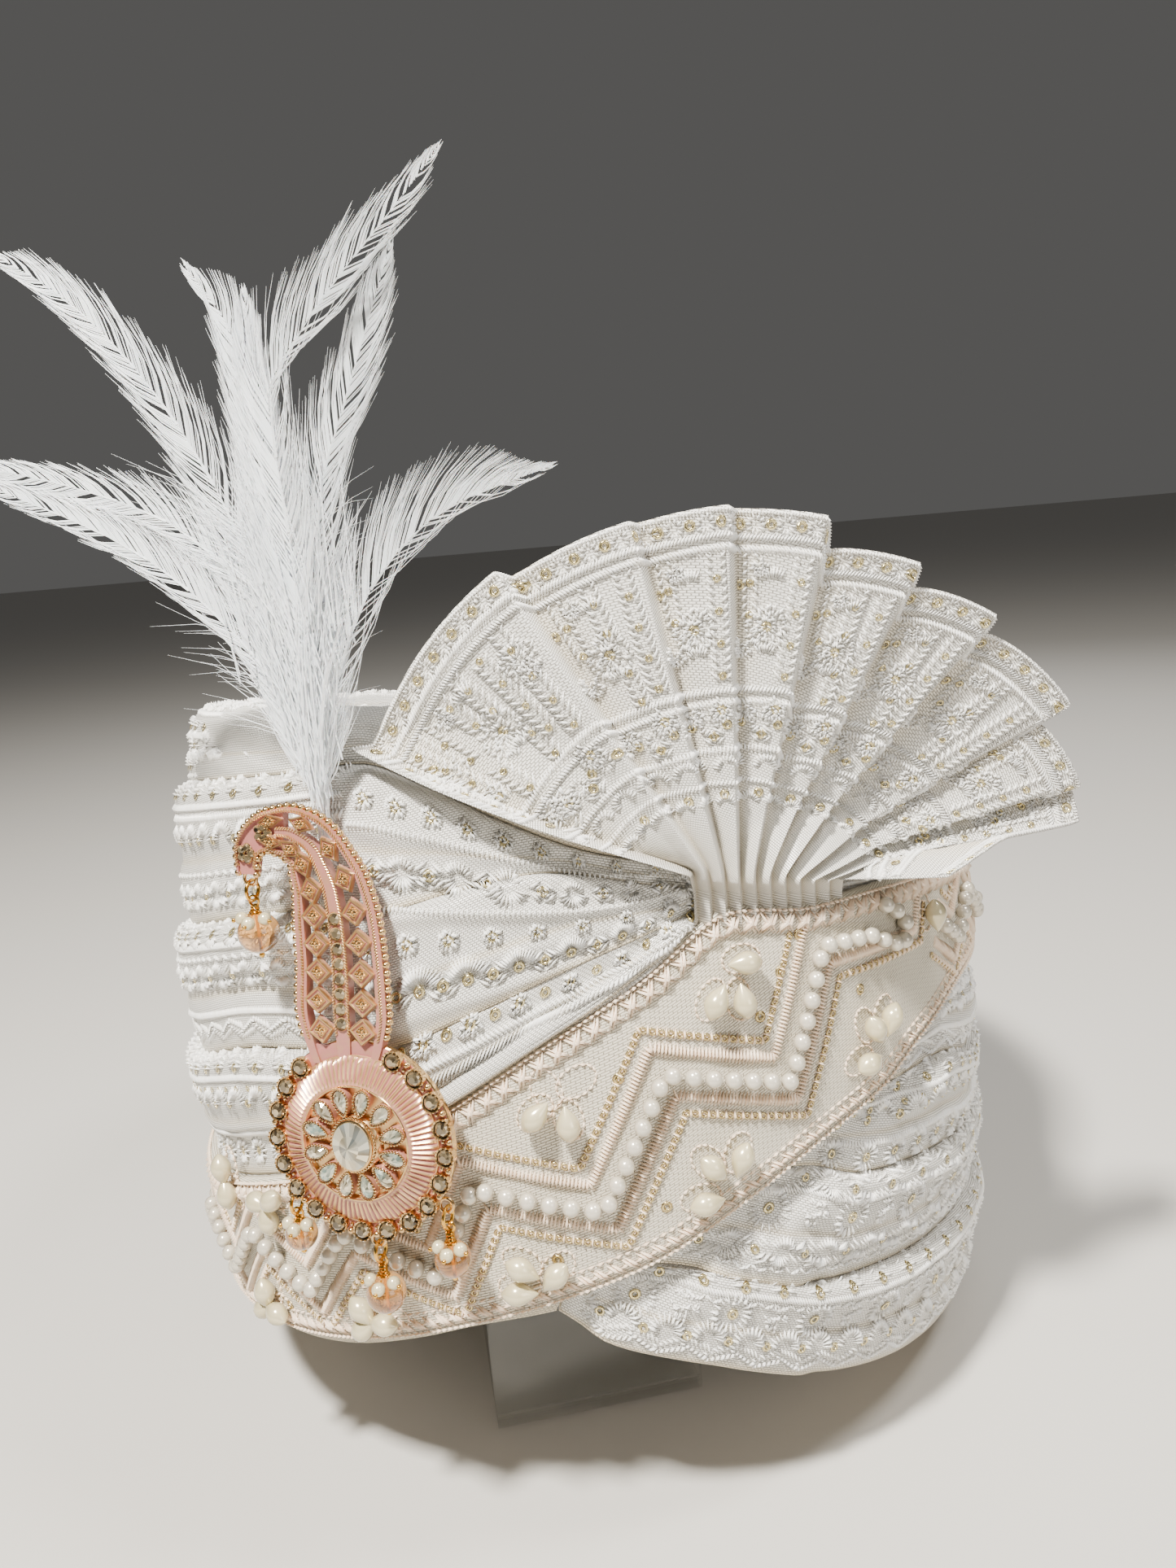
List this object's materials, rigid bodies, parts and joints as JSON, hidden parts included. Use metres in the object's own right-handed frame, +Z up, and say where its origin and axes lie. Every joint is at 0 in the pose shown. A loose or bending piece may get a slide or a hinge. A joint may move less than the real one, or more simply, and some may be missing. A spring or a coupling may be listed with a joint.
{
  "type": "tied turban pagri on a clear display stand",
  "caption": "Wound cloth turban with a pleated fan, a pearl-sewn band, a hooked brooch with drops and a feather plume, resting on a bent clear stand.",
  "frame": {"origin": "underside of the stand's base sheet, on the axis of the crown", "axes": "+Z up, -Y towards the front of the turban, +X towards the side where the fan stands"},
  "size_m": [0.2795, 0.2937, 0.3383],
  "materials": {
    "white_cloth": "satin weave with raised thread embroidery",
    "blush_cloth": "striped satin with couched thread and sewn pearls",
    "enamel": "dusty pink enamel over gold plated metal",
    "gold_wire": "polished gold plate",
    "crystal": "faceted, foil backed",
    "amber_glass": "clear glass bead with small pearls on gold wire",
    "feather": "soft loose barbs",
    "pearl": "pearlescent",
    "acrylic": "clear polished sheet"
  },
  "bodies": {
    "root": {"stand": "acrylic", "crown_cap": "white_cloth", "fan": "white_cloth", "wrap_1": "white_cloth", "wrap_2": "white_cloth", "wrap_3": "white_cloth", "wrap_4": "white_cloth", "wrap_5": "white_cloth", "wrap_6": "white_cloth", "pearl_band": "blush_cloth", "brooch": "enamel", "centre_stone": "crystal", "petal_stone_1": "crystal", "petal_stone_2": "crystal", "petal_stone_3": "crystal", "petal_stone_4": "crystal", "petal_stone_5": "crystal", "petal_stone_6": "crystal", "petal_stone_7": "crystal", "petal_stone_8": "crystal", "petal_stone_9": "crystal", "petal_stone_10": "crystal", "petal_stone_11": "crystal", "petal_stone_12": "crystal", "rim_stone_1": "crystal", "rim_stone_2": "crystal", "rim_stone_3": "crystal", "rim_stone_4": "crystal", "rim_stone_5": "crystal", "rim_stone_6": "crystal", "rim_stone_7": "crystal", "rim_stone_8": "crystal", "rim_stone_9": "crystal", "rim_stone_10": "crystal", "rim_stone_11": "crystal", "rim_stone_12": "crystal", "rim_stone_13": "crystal", "rim_stone_14": "crystal", "rim_stone_15": "crystal", "rim_stone_16": "crystal", "rim_stone_17": "crystal", "rim_stone_18": "crystal", "jump_ring_1": "gold_wire", "jump_ring_2": "gold_wire", "jump_ring_3": "gold_wire", "jump_ring_4": "gold_wire", "drop_1": "amber_glass", "drop_2": "amber_glass", "drop_3": "amber_glass", "drop_4": "amber_glass", "plume": "feather", "pearl_cluster_1": "pearl", "pearl_cluster_2": "pearl", "pearl_cluster_3": "pearl", "pearl_cluster_4": "pearl", "pearl_cluster_5": "pearl", "pearl_cluster_6": "pearl", "pearl_cluster_7": "pearl", "pearl_cluster_8": "pearl", "pearl_cluster_9": "pearl"}
  },
  "joints": []
}
